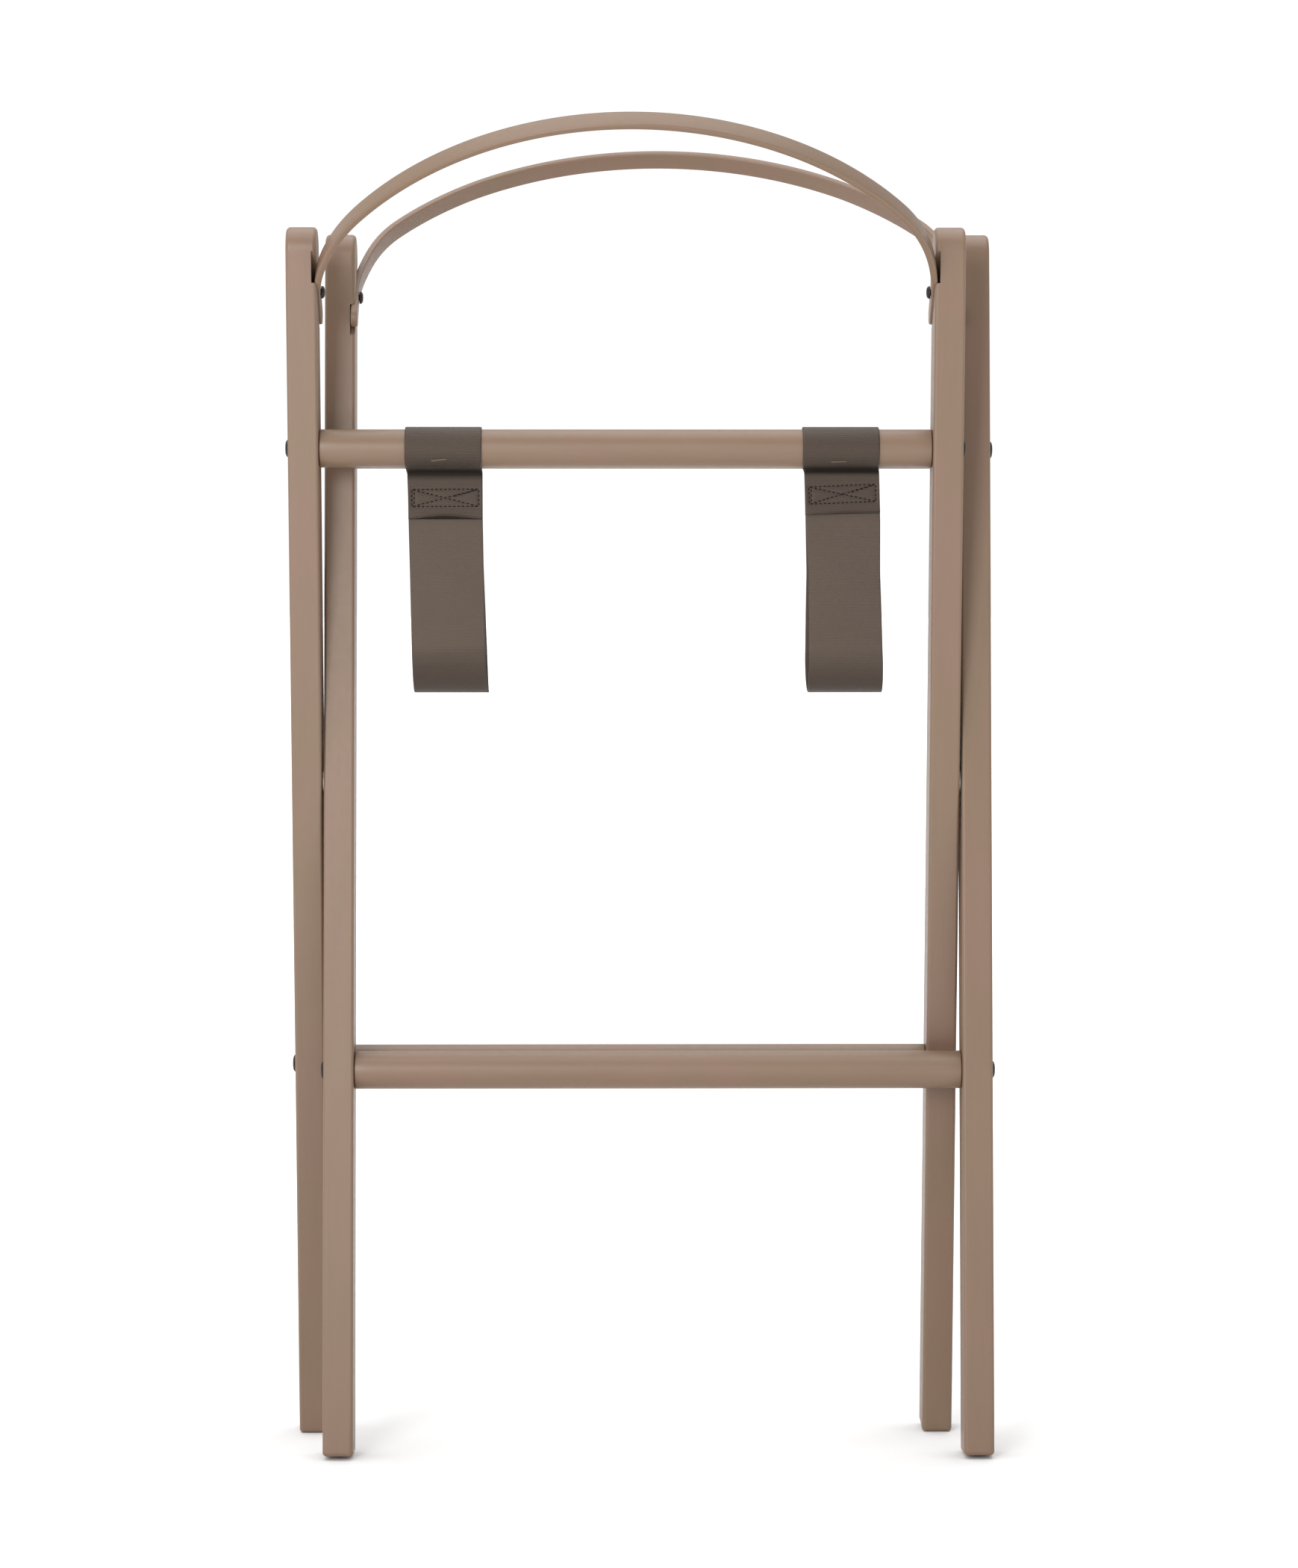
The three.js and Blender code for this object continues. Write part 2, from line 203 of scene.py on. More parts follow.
def set_grain(piece, coordinates, seed):
    """Stores where each vertex lies in its board, in metres, with z along the grain."""
    shift = np.random.default_rng(seed).uniform(0, 5, 3)
    attribute = piece.data.attributes.new("grain", "FLOAT_VECTOR", "POINT")
    attribute.data.foreach_set("vector", (coordinates + shift).astype(np.float32).ravel())


def set_weave(piece, across, along):
    """Stores the place on the flat webbing, in metres, as the mesh's UV map."""
    layer = piece.data.uv_layers.new(name="weave")
    corners = np.zeros(len(piece.data.loops), int)
    piece.data.loops.foreach_get("vertex_index", corners)
    layer.data.foreach_set("uv", np.stack([across, along], 1)[corners].astype(np.float32).ravel())


def arc(radius, start, end, steps):
    """Points on an arc about the origin; angles in degrees."""
    angles = np.radians(np.linspace(start, end, steps + 1))
    return np.stack([radius * np.cos(angles), radius * np.sin(angles)], 1)


def rounded_rectangle(half_width, half_height, corner, steps=5):
    """A closed outline round the origin."""
    corner = min(corner, half_width * 0.98, half_height * 0.98)
    outline = []
    for quarter, (sx, sy) in enumerate(((1, 1), (-1, 1), (-1, -1), (1, -1))):
        centre = np.array([sx * (half_width - corner), sy * (half_height - corner)])
        outline.append(centre + arc(corner, 90 * quarter, 90 * quarter + 90, steps))
    return np.concatenate(outline)


# --- Materials ---------------------------------------------------------------------------------------

def new_material(name, **shader_values):
    made = bpy.data.materials.new(name)
    made.use_nodes = True
    tree = made.node_tree
    shader = tree.nodes["Principled BSDF"]
    for socket, value in shader_values.items():
        shader.inputs[socket.replace("_", " ")].default_value = value
    return made, tree, shader


def node(tree, kind, inputs, output=0, **settings):
    """A new node with these settings and inputs; returns one of its outputs."""
    made = tree.nodes.new(kind)
    for setting, value in settings.items():
        setattr(made, setting, value)
    for socket, value in inputs.items():
        if isinstance(value, bpy.types.NodeSocket):
            tree.links.new(value, made.inputs[socket])
        else:
            made.inputs[socket].default_value = value
    return made.outputs[output]


def maths(tree, operation, a, b=0.0):
    return node(tree, "ShaderNodeMath", {0: a, 1: b}, operation=operation)


def noise(tree, where, scale, detail=3.0, roughness=0.5):
    return node(tree, "ShaderNodeTexNoise",
                {"Vector": where, "Scale": scale, "Detail": detail, "Roughness": roughness})


def stretched(tree, where, scale):
    """The same place, scaled along each axis; a small scale draws a texture out."""
    return node(tree, "ShaderNodeMapping", {"Vector": where, "Scale": scale})


def blended(tree, share, low, high):
    """A colour between low and high."""
    return node(tree, "ShaderNodeMix", {0: share, 6: low, 7: high}, output=2, data_type="RGBA")


def ranged(tree, value, low, high, to_low, to_high):
    return node(tree, "ShaderNodeMapRange",
                {"Value": value, "From Min": low, "From Max": high, "To Min": to_low, "To Max": to_high})


def bump(tree, shader, height, distance, strength):
    normal = node(tree, "ShaderNodeBump", {"Height": height, "Distance": distance, "Strength": strength})
    tree.links.new(normal, shader.inputs["Normal"])


def lacquer_material():
    """Satin taupe lacquer over close-grained wood: faint mottling, fibres that just show, brushed film."""
    made, tree, shader = new_material("lacquer", Coat_Weight=0.05, Coat_Roughness=0.3)
    board = node(tree, "ShaderNodeAttribute", {}, output="Vector", attribute_name="grain")
    fibres = noise(tree, stretched(tree, board, (1.0, 1.0, 0.025)), 700.0, 5.0, 0.6)
    figure = noise(tree, stretched(tree, board, (1.0, 1.0, 0.12)), 90.0)
    mottle = noise(tree, board, 16.0, 2.0)
    film = noise(tree, board, 260.0, 2.0)
    reddish, yellowish = (0.182, 0.110, 0.073, 1), (0.171, 0.111, 0.067, 1)
    warm = blended(tree, ranged(tree, mottle, 0.35, 0.65, 0.0, 1.0), reddish, yellowish)
    grained = blended(tree, ranged(tree, figure, 0.3, 0.7, 0.0, 0.22), warm, (0.136, 0.084, 0.055, 1))
    pores = blended(tree, ranged(tree, fibres, 0.55, 0.8, 0.0, 0.16), grained, (0.09, 0.056, 0.038, 1))
    tree.links.new(pores, shader.inputs["Base Color"])
    tree.links.new(ranged(tree, film, 0.3, 0.7, 0.40, 0.48), shader.inputs["Roughness"])
    height = maths(tree, "ADD", maths(tree, "MULTIPLY", fibres, 0.6), maths(tree, "MULTIPLY", film, 0.5))
    bump(tree, shader, height, 0.00006, 0.35)
    return made


def weave_heights(tree):
    """Ribs across the width, crossed by the finer warp, from the webbing's UV map; all from 0 to 1."""
    rib_pitch, warp_pitch = 0.00095, 0.0008
    place_on_web = node(tree, "ShaderNodeUVMap", {}, uv_map="weave")
    split = tree.nodes.new("ShaderNodeSeparateXYZ")
    tree.links.new(place_on_web, split.inputs[0])
    across, along = split.outputs[0], split.outputs[1]
    rib_phase = maths(tree, "MULTIPLY", along, 2 * math.pi / rib_pitch)
    rib = ranged(tree, maths(tree, "SINE", rib_phase), -1.0, 1.0, 0.0, 1.0)
    step = maths(tree, "MULTIPLY", maths(tree, "FLOOR", maths(tree, "DIVIDE", along, rib_pitch)), math.pi)
    warp_phase = maths(tree, "ADD", maths(tree, "MULTIPLY", across, 2 * math.pi / warp_pitch), step)
    warp = ranged(tree, maths(tree, "SINE", warp_phase), -1.0, 1.0, 0.0, 1.0)
    return place_on_web, across, along, rib, warp


def webbing_material():
    """Ribbed polyester webbing: weft ribs, a fine warp, uneven yarns and darker selvedges.

    Along is the length from the flap's cut end in metres. The flap and the sleeve are darker than the run, as
    painted shade under the bar, and the loop is darker, as painted shade where it turns under. A band of
    painted shade under the bar and the cut end are nearly black.
    """
    made, tree, shader = new_material("webbing", Specular_Tint=(1.0, 0.78, 0.64, 1.0))
    where, across, along, rib, warp = weave_heights(tree)
    yarn = noise(tree, stretched(tree, where, (1.0, 0.06, 1.0)), 1400.0, 2.0)
    pick = noise(tree, stretched(tree, where, (0.04, 1.0, 1.0)), 900.0, 2.0)
    patchy = noise(tree, where, 45.0, 3.0)
    thread = maths(tree, "MULTIPLY", rib, ranged(tree, warp, 0.0, 1.0, 0.6, 1.0))
    base = blended(tree, thread, (0.014, 0.0105, 0.0085, 1), (0.036, 0.0275, 0.0225, 1))
    uneven = maths(tree, "ADD", maths(tree, "MULTIPLY", yarn, 0.5), maths(tree, "MULTIPLY", pick, 0.5))
    yarned = blended(tree, ranged(tree, uneven, 0.3, 0.7, 0.0, 0.3), base, (0.052, 0.041, 0.034, 1))
    faded = blended(tree, ranged(tree, patchy, 0.35, 0.7, 0.0, 0.22), yarned, (0.021, 0.016, 0.013, 1))
    selvedge = ranged(tree, maths(tree, "ABSOLUTE", across), 0.0240, 0.0247, 0.0, 0.8)
    edged = blended(tree, selvedge, faded, (0.022, 0.017, 0.014, 1))
    # Painted shade and light: the flap, sleeve and ring are darker, as painted shade under the bar, and the
    # run below them is lighter, as painted light.
    on_run = ranged(tree, along, 0.108, 0.125, 0.0, 1.0)
    sleeve_shade_and_run_light = blended(tree, on_run, (0.8, 0.8, 0.8, 1), (1.62, 1.6, 1.57, 1))
    # Painted shade: the lowest part of the run and the loop, where the strap turns under, are darker.
    loop_shade = blended(tree, ranged(tree, along, 0.2265, 0.2405, 0.0, 1.0), sleeve_shade_and_run_light, (0.85, 0.84, 0.83, 1))
    shaded_weave = node(tree, "ShaderNodeMix", {0: 1.0, 6: edged, 7: loop_shade},
                output=2, data_type="RGBA", blend_type="MULTIPLY")
    # Painted shade: a nearly black band under the bar, where the sleeve closes, with its sheen turned down as
    # well.
    crease_place, under_bar_shade_strength = 0.030, 0.78
    from_crease = maths(tree, "ABSOLUTE", maths(tree, "SUBTRACT", along, crease_place))
    under_bar_shade = ranged(tree, from_crease, 0.002, 0.006, under_bar_shade_strength, 0.0)
    with_under_bar_shade = blended(tree, under_bar_shade, shaded_weave, (0.006, 0.005, 0.004, 1))
    cut_end = blended(tree, ranged(tree, along, 0.0009, 0.0016, 0.0, 1.0), (0.003, 0.002, 0.0015, 1), with_under_bar_shade)
    tree.links.new(cut_end, shader.inputs["Base Color"])
    tree.links.new(ranged(tree, under_bar_shade, 0.0, under_bar_shade_strength, 0.62, 0.15), shader.inputs["Specular IOR Level"])
    tree.links.new(ranged(tree, uneven, 0.3, 0.7, 0.46, 0.6), shader.inputs["Roughness"])
    height = maths(tree, "ADD", thread, maths(tree, "MULTIPLY", uneven, 0.4))
    bump(tree, shader, height, 0.00016, 0.8)
    return made


def thread_material():
    """Twisted sewing thread, darker than the webbing: partly its own colour, partly painted shade for the
    dimples the stitches pull into the webbing.
    """
    made, tree, shader = new_material("thread", Specular_IOR_Level=0.15)
    where = node(tree, "ShaderNodeTexCoord", {}, output="Object")
    twist = noise(tree, where, 2600.0, 2.0)
    colour = blended(tree, twist, (0.004, 0.003, 0.002, 1), (0.014, 0.01, 0.008, 1))
    tree.links.new(colour, shader.inputs["Base Color"])
    tree.links.new(ranged(tree, twist, 0.0, 1.0, 0.5, 0.7), shader.inputs["Roughness"])
    bump(tree, shader, twist, 0.0001, 0.6)
    return made


def steel_material(name, dark, light, metallic, roughness, grain_scale):
    """Plated steel with a slightly uneven coat."""
    made, tree, shader = new_material(name, Metallic=metallic)
    where = node(tree, "ShaderNodeTexCoord", {}, output="Object")
    coat = noise(tree, where, grain_scale, 4.0)
    fine = noise(tree, where, grain_scale * 6, 2.0)
    tree.links.new(blended(tree, coat, dark, light), shader.inputs["Base Color"])
    tree.links.new(ranged(tree, coat, 0.3, 0.7, roughness, roughness + 0.12), shader.inputs["Roughness"])
    bump(tree, shader, fine, 0.00002, 0.4)
    return made


def floor_material():
    """Pale, matt studio floor, painted lighter away from the rack as painted light and darker near it as
    painted shade.
    """
    made, tree, shader = new_material("floor", Specular_IOR_Level=0.1)
    where = node(tree, "ShaderNodeTexCoord", {}, output="Object")
    from_rack = node(tree, "ShaderNodeVectorMath", {0: where}, output=1, operation="LENGTH")
    dust = maths(tree, "MULTIPLY", noise(tree, where, 2.0), 0.02)
    # Painted light and shade: the floor's colour rises from near the rack to far away.
    far = maths(tree, "ADD", ranged(tree, from_rack, 0.35, 1.3, 0.0, 0.98), dust)
    tone = blended(tree, far, (0.75, 0.75, 0.75, 1), (0.95, 0.95, 0.95, 1))
    tree.links.new(tone, shader.inputs["Base Color"])
    shader.inputs["Roughness"].default_value = 0.9
    return made


LACQUER = lacquer_material()
WEBBING = webbing_material()
THREAD = thread_material()
DARK_STEEL = steel_material("dark_steel", (0.008, 0.006, 0.005, 1), (0.02, 0.016, 0.013, 1), 0.5, 0.4, 500.0)
BRONZE_WIRE = steel_material("bronze_wire", (0.09, 0.065, 0.048, 1), (0.16, 0.12, 0.09, 1), 0.8, 0.42, 600.0)
ZINC = steel_material("zinc_steel", (0.38, 0.37, 0.34, 1), (0.6, 0.58, 0.53, 1), 1.0, 0.28, 400.0)


# --- Where things are --------------------------------------------------------------------------------

PIVOT_HEIGHT = next(j["pos_m"][2] for j in frame["joints"] if j["name"] == "fold")


def frame_axes(name, turned):
    """The frame's own axes: its origin on the pivot, x along the bars, z up the legs."""
    low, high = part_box(f"{name}_upper_bar")
    bar = (low + high) / 2
    pivot = Vector((bar.x, 0, PIVOT_HEIGHT))
    up = (bar - pivot).normalized()
    along_bar = Vector((-1 if turned else 1, 0, 0))
    depth = up.cross(along_bar)
    return Matrix.Translation(pivot) @ Matrix((along_bar, depth, up)).transposed().to_4x4()


def local_points(node_name, axes):
    """A CAD node's vertices in these axes, in millimetres."""
    inverse = np.array(axes.inverted())
    points = points_of(frame["nodes"][node_name].data)
    return (points @ inverse[:3, :3].T + inverse[:3, 3]) / MM


def local_box(node_name, axes):
    points = local_points(node_name, axes)
    return points.min(0), points.max(0)


# --- Legs and bars -----------------------------------------------------------------------------------

def leg_outline(low, high):
    """The leg's side outline as rows of y, z, outward normal y, z and edge rounding."""
    half = (high[1] - low[1]) / 2
    top_centre = high[2] - half
    toe = half - FOOT_ROUND
    sole = low[2] + FOOT_ROUND
    fade = np.array([0, 4, 9, 15, 22, 30]) / 30 * LEG_ROUND_FADES_OVER
    straight = np.linspace(sole + 60, top_centre - 60, 12)
    side = np.concatenate([sole + fade[1:], straight, top_centre - fade[:0:-1]])
    rows = []
    for corner, start in ((-toe, 180), (toe, 270)):
        for y, z in arc(1, start, start + 90, 6):
            rows.append((corner + FOOT_ROUND * y, sole + FOOT_ROUND * z, y, z))
    rows += [(half, z, 1, 0) for z in side]
    rows += [(half * y, top_centre + half * z, y, z) for y, z in arc(1, 0, 180, 48)]
    rows += [(-half, z, -1, 0) for z in side[::-1]]
    rows = np.array(rows)
    to_end = np.minimum(np.abs(rows[:, 1] - top_centre), np.abs(rows[:, 1] - sole))
    inside = (rows[:, 1] < top_centre) & (rows[:, 1] > sole)
    share = np.where(inside, np.clip(1 - to_end / LEG_ROUND_FADES_OVER, 0, 1), 1)
    share = share * share * (3 - 2 * share)
    rounding = LEG_EDGE_ROUND + (LEG_END_ROUND - LEG_EDGE_ROUND) * share
    return np.column_stack([rows, rounding])


def leg_rings(low, high):
    y, z, normal_y, normal_z, rounding = leg_outline(low, high).T
    turns = np.radians(np.linspace(90, 0, 8))
    rings = []
    for end, turn in [(low[0], t) for t in turns] + [(high[0], t) for t in turns[::-1]]:
        inward = 1 if end == low[0] else -1
        inset = rounding * (1 - math.cos(turn))
        x = end + inward * rounding * (1 - math.sin(turn))
        rings.append(np.column_stack([x, y - normal_y * inset, z - normal_z * inset]))
    return rings


def cut_housing(leg, axes, side, lean, screw_height, strip_width, inner_face):
    """Cuts the slanted slot for the arch's tail into the leg's inner face and eases its edges."""
    half = strip_width / 2 + HOUSING_CLEARANCE
    reach = 60.0
    section = np.array([(-half, -reach), (half, -reach), (half, reach), (-half, reach)])
    rings = [np.column_stack([np.full(4, x), section]) for x in (-HOUSING_DEPTH, HOUSING_DEPTH)]
    slot_axes = axes @ Matrix.Translation(Vector((side * inner_face, 0, screw_height)) * MM)
    cutter = loft("housing_cutter", [rings], LACQUER, slot_axes @ Matrix.Rotation(lean, 4, "X"))
    cut = leg.modifiers.new("housing", "BOOLEAN")
    cut.operation = "DIFFERENCE"
    cut.solver = "EXACT"
    cut.object = cutter
    ease = leg.modifiers.new("eased", "BEVEL")
    ease.width = HOUSING_EDGE_ROUND * MM
    ease.segments = 2
    ease.limit_method = "ANGLE"
    ease.angle_limit = math.radians(50)
    made = applied(leg)
    made.modifiers.new("flat_faces", "WEIGHTED_NORMAL").keep_sharp = True
    bpy.data.objects.remove(cutter)
    return made


def make_leg(name, axes, side, arch, seed):
    low, high = local_box(name, axes)
    inner_face = min(abs(low[0]), abs(high[0]))
    leg = loft(name + "_wood", [leg_rings(low, high)], LACQUER, axes)
    leg = cut_housing(leg, axes, side, arch["lean"], arch["screw"], arch["width"], inner_face)
    set_grain(leg, points_of(leg.data), seed)
    return leg


def make_bar(name, axes, seed):
    low, high = local_box(name, axes)
    radius = (high[2] - low[2]) / 2
    height = (high[2] + low[2]) / 2
    turns = np.radians(np.linspace(90, 0, 5))
    profile = [(low[0] + BAR_END_ROUND * (1 - math.sin(t)), radius - BAR_END_ROUND * (1 - math.cos(t)))
               for t in turns]
    profile += [(x, radius) for x in np.linspace(low[0] + 10, high[0] - 10, 20)]
    profile += [(-x, r) for x, r in profile[4::-1]]
    y, z = arc(1, 0, 360, 96)[:-1].T
    rings = [np.column_stack([np.full(len(y), x), r * y, height + r * z]) for x, r in profile]
    bar = loft(name + "_wood", [rings], LACQUER, axes)
    set_grain(bar, points_of(bar.data)[:, [1, 2, 0]], seed)
    return bar


# --- Arches ------------------------------------------------------------------------------------------

def arch_sizes(name, axes):
    """Where the arch's screws are, how far it leans, and its size, read from the CAD strip."""
    screw_low, screw_high = local_box(f"{name}_arch_screw_outer", axes)
    screw = (screw_low[2] + screw_high[2]) / 2
    points = local_points(f"{name}_arch", axes) - (0, 0, screw)
    crown = points[np.abs(points[:, 0]) < 1]
    middle = crown.mean(0)
    lean = math.atan2(-middle[1], middle[2])
    upright = np.array([-math.sin(lean), math.cos(lean)])
    sideways = np.array([math.cos(lean), math.sin(lean)])
    return {
        "screw": screw,
        "lean": lean,
        "rise": (crown[:, 1:] @ upright).max(),
        "half_span": np.abs(points[:, 0]).max(),
        "width": 2 * (crown[:, 1:] @ sideways).max(),
    }


def arch_face(half_span, rise):
    """Half of the strip's outer face, from crown to tail, as rows of x, z and the face's direction."""
    crown_radius = ARCH_CROWN_RADIUS
    crown_centre = rise - crown_radius
    drop = ARCH_SHOULDER - crown_centre
    shoulder_radius = (crown_radius ** 2 - half_span ** 2 - drop ** 2) / (2 * (crown_radius - half_span))
    shoulder_centre = half_span - shoulder_radius
    meet = math.atan2(drop, shoulder_centre)
    rows = []
    for a in np.linspace(math.pi / 2, meet, 60):
        rows.append((crown_radius * math.cos(a), crown_centre + crown_radius * math.sin(a), a))
    for a in np.linspace(meet, 0, 40)[1:]:
        x = shoulder_centre + shoulder_radius * math.cos(a)
        rows.append((x, ARCH_SHOULDER + shoulder_radius * math.sin(a), a))
    rows += [(half_span, z, 0) for z in np.linspace(ARCH_SHOULDER, -ARCH_TAIL + ARCH_TAIL_ROUND, 8)[1:]]
    for t in np.radians(np.linspace(0, 86, 14))[1:]:
        rows.append((half_span, -ARCH_TAIL + ARCH_TAIL_ROUND * (1 - math.sin(t)), 0))
    return np.array(rows)


def as_bent(path, half_span, bend):
    """The path with this arch's own unevenness: its sway to +x, its wider shoulders and its higher crown."""
    x, z, angle = path.T
    free = np.clip((z - bend["stiff"]) / (ARCH_FREE_FROM - bend["stiff"]), 0, 1)
    free = free * free * (3 - 2 * free)
    shoulder = 0.6 * half_span
    out = np.clip(x / shoulder, -1, 1)
    moved = np.column_stack([x + free * (bend["sway"] + bend["widen"] * out), z + free * bend["lift"]])
    step = np.gradient(moved, axis=0)
    turned = np.arctan2(step[:, 0], -step[:, 1])
    return np.column_stack([moved, turned])


def make_arch(name, axes, arch, bend, seed):
    """A flat strip of bent wood with rounded corners and half-round tails, swept along its curve."""
    right = arch_face(arch["half_span"], arch["rise"])
    left = right[:0:-1] * (-1, 1, -1) + (0, 0, math.pi)
    path = as_bent(np.concatenate([left, right]), arch["half_span"], bend)
    centres = path[:, :2] - ARCH_THICKNESS / 2 * np.column_stack([np.cos(path[:, 2]), np.sin(path[:, 2])])
    lengths = np.concatenate([[0], np.cumsum(np.linalg.norm(np.diff(centres, axis=0), axis=1))])
    full = arch["width"] / 2
    narrowest = 0.3
    rings, board = [], []
    for (x, z), angle, length in zip(centres, path[:, 2], lengths):
        to_end = z + ARCH_TAIL
        half = math.sqrt(max(full ** 2 - max(full - to_end, 0) ** 2, narrowest ** 2))
        section = rounded_rectangle(half, ARCH_THICKNESS / 2, ARCH_CORNER_ROUND)
        rings.append([(x + n * math.cos(angle), y, z + n * math.sin(angle)) for y, n in section])
        board.append([(y, n, length) for y, n in section])
    arch_axes = axes @ Matrix.Translation((0, 0, arch["screw"] * MM)) @ Matrix.Rotation(arch["lean"], 4, "X")
    piece = loft(name + "_arch_wood", [rings], LACQUER, arch_axes)
    set_grain(piece, np.array(board).reshape(-1, 3) * MM, seed)
    return piece


# --- Fixings -----------------------------------------------------------------------------------------

def hexagon(circle_angles, size):
    """The hexagon's radius in each direction, for a hexagon this far from centre to corner."""
    from_flat = (circle_angles % (math.pi / 3)) - math.pi / 6
    return size * math.cos(math.pi / 6) / np.cos(from_flat)


def make_screw(cad_name, axes, socket, seat_rounding):
    """A domed head with a hexagon socket on a plain shank, placed and sized from the CAD screw."""
    points = local_points(cad_name, axes)
    low, high = points.min(0), points.max(0)
    head_radius = (high[2] - low[2]) / 2
    centre = (low + high) / 2
    from_axis = np.hypot(points[:, 1] - centre[1], points[:, 2] - centre[2])
    wide = points[from_axis > head_radius * 0.97][:, 0]
    out = 1 if abs(wide.mean() - high[0]) < abs(wide.mean() - low[0]) else -1
    seat = wide.min() if out > 0 else wide.max()
    head_height = abs((high[0] if out > 0 else low[0]) - seat)
    shank_end = low[0] if out > 0 else high[0]
    shank_radius = from_axis[np.abs(points[:, 0] - shank_end) < 0.1].max()
    profile = [(-abs(shank_end - seat), shank_radius), (0, shank_radius), (0, head_radius - seat_rounding),
               (seat_rounding * 0.3, head_radius - seat_rounding * 0.3), (seat_rounding, head_radius)]
    rim = socket * 1.18
    for t in np.radians(np.linspace(0, 90, 12)):
        reach = head_radius - (head_radius - rim) * (1 - math.cos(t)) ** 0.85
        profile.append((seat_rounding + (head_height - seat_rounding) * math.sin(t), reach))
    angles = np.radians(np.linspace(0, 360, 61)[:-1])
    sections = [(x, np.full(len(angles), r)) for x, r in profile]
    for depth, share in ((0.02, 1.06), (0.1, 1.0), (0.62, 0.98), (0.72, 0.4)):
        sections.append((head_height * (1 - depth), hexagon(angles, socket * share)))
    rings = [np.column_stack([np.full(len(angles), seat + out * x), centre[1] + radii * np.cos(angles),
                              centre[2] + radii * np.sin(angles)]) for x, radii in sections]
    return loft(cad_name + "_steel", [rings], DARK_STEEL, axes)


def make_staple(name, strap_axes, side):
    """A flat wire staple whose crown lies on the sleeve."""
    surface = BAR_RADIUS + SLEEVE_GAP + (WEB_SPACING + WEB_THICKNESS) / 2
    spot = STAPLE_PLACES[side]
    half = (STAPLE_WIDTH - STAPLE_CROWN) / 2
    height = surface + STAPLE_CROWN / 2 - STAPLE_SINKS
    path = [(-half, height - STAPLE_LEG, 0)]
    path += [(-half + STAPLE_BEND + y, height - STAPLE_BEND + z, a)
             for (y, z), a in zip(arc(STAPLE_BEND, 180, 90, 6), np.linspace(0, 90, 7))]
    path += [(x, height, 90) for x in np.linspace(-half + 2, half - 2, 9)]
    path += [(half - STAPLE_BEND + y, height - STAPLE_BEND + z, a)
             for (y, z), a in zip(arc(STAPLE_BEND, 90, 0, 6), np.linspace(90, 180, 7))]
    path += [(half, height - STAPLE_LEG, 180)]
    section = rounded_rectangle(STAPLE_CROWN / 2, STAPLE_WIRE / 2, 0.22, 4)
    rings = []
    for x, out, turned in path:
        a = math.radians(turned)
        rings.append([(x - n * math.cos(a), out + n * math.sin(a), w) for n, w in section])
    along_bar = Matrix.Translation((spot["shift"] * MM, 0, 0))
    round_bar = Matrix.Rotation(math.radians(spot["angle"]), 4, "X")
    tilt = Matrix.Rotation(math.radians(spot["tilt"]), 4, "Y")
    return loft(name, [rings], BRONZE_WIRE, strap_axes @ along_bar @ round_bar @ tilt)


# --- Straps ------------------------------------------------------------------------------------------

def strap_stretches(flap_end, loop_radius):
    """The webbing's middle line, from the flap's cut end to the rack's middle, as lengths and curvatures."""
    ring = BAR_RADIUS + SLEEVE_GAP + WEB_SPACING / 2
    offset = WEB_SPACING / 2
    tangent = math.sqrt(SLEEVE_CLOSES ** 2 + offset ** 2 - ring ** 2)
    opening = math.atan2(ring, tangent) - math.atan2(offset, SLEEVE_CLOSES)
    ease = SLEEVE_ROUND * math.tan(opening / 2)
    run = STRAP_DROP - loop_radius - SLEEVE_CLOSES - ease
    eighth = loop_radius * math.pi / 4
    return [
        (flap_end - SLEEVE_CLOSES - ease, 0),
        (SLEEVE_ROUND * opening, 1 / SLEEVE_ROUND),
        (tangent - ease, 0),
        (ring * (math.pi + 2 * opening), -1 / ring),
        (tangent - ease, 0),
        (SLEEVE_ROUND * opening, 1 / SLEEVE_ROUND),
        (run, 0),
        (eighth, 1 / loop_radius),
        (eighth, 1 / loop_radius),
        (TONGUE_LENGTH, 0.5 / loop_radius),
    ]


def follow(stretches, start, length):
    """The y, z and heading at this length along the stretches; the heading starts straight up."""
    (y, z), heading = start, math.pi / 2
    for reach, curvature in stretches:
        step = min(length, reach)
        turned = heading + curvature * step
        if curvature:
            y += (math.sin(turned) - math.sin(heading)) / curvature
            z -= (math.cos(turned) - math.cos(heading)) / curvature
        else:
            y += step * math.cos(heading)
            z += step * math.sin(heading)
        heading = turned
        length -= step
        if length <= 0:
            break
    return y, z, heading


def spaced(start, end, step):
    """Lengths from start to end, at most this step apart."""
    return np.linspace(start, end, max(2, math.ceil((end - start) / step) + 1))


def web_section():
    """The webbing's section as across and out from its middle: flat, with rounded selvedges."""
    half, out = WEB_WIDTH / 2, WEB_THICKNESS / 2
    rim = np.array([0.0, 0.06, 0.2, 0.42, SELVEDGE_ROUND])
    flat = np.linspace(-half + 1.3, half - 1.3, WEB_COLUMNS)
    across = np.concatenate([-half + rim, flat, half - rim[::-1]])
    from_edge = np.minimum(half - np.abs(across), SELVEDGE_ROUND)
    thick = out * np.sqrt(np.clip(1 - (1 - from_edge / SELVEDGE_ROUND) ** 2, 0, 1))
    face = np.column_stack([across, thick])
    return np.concatenate([face, face[-2:0:-1] * (1, -1)])


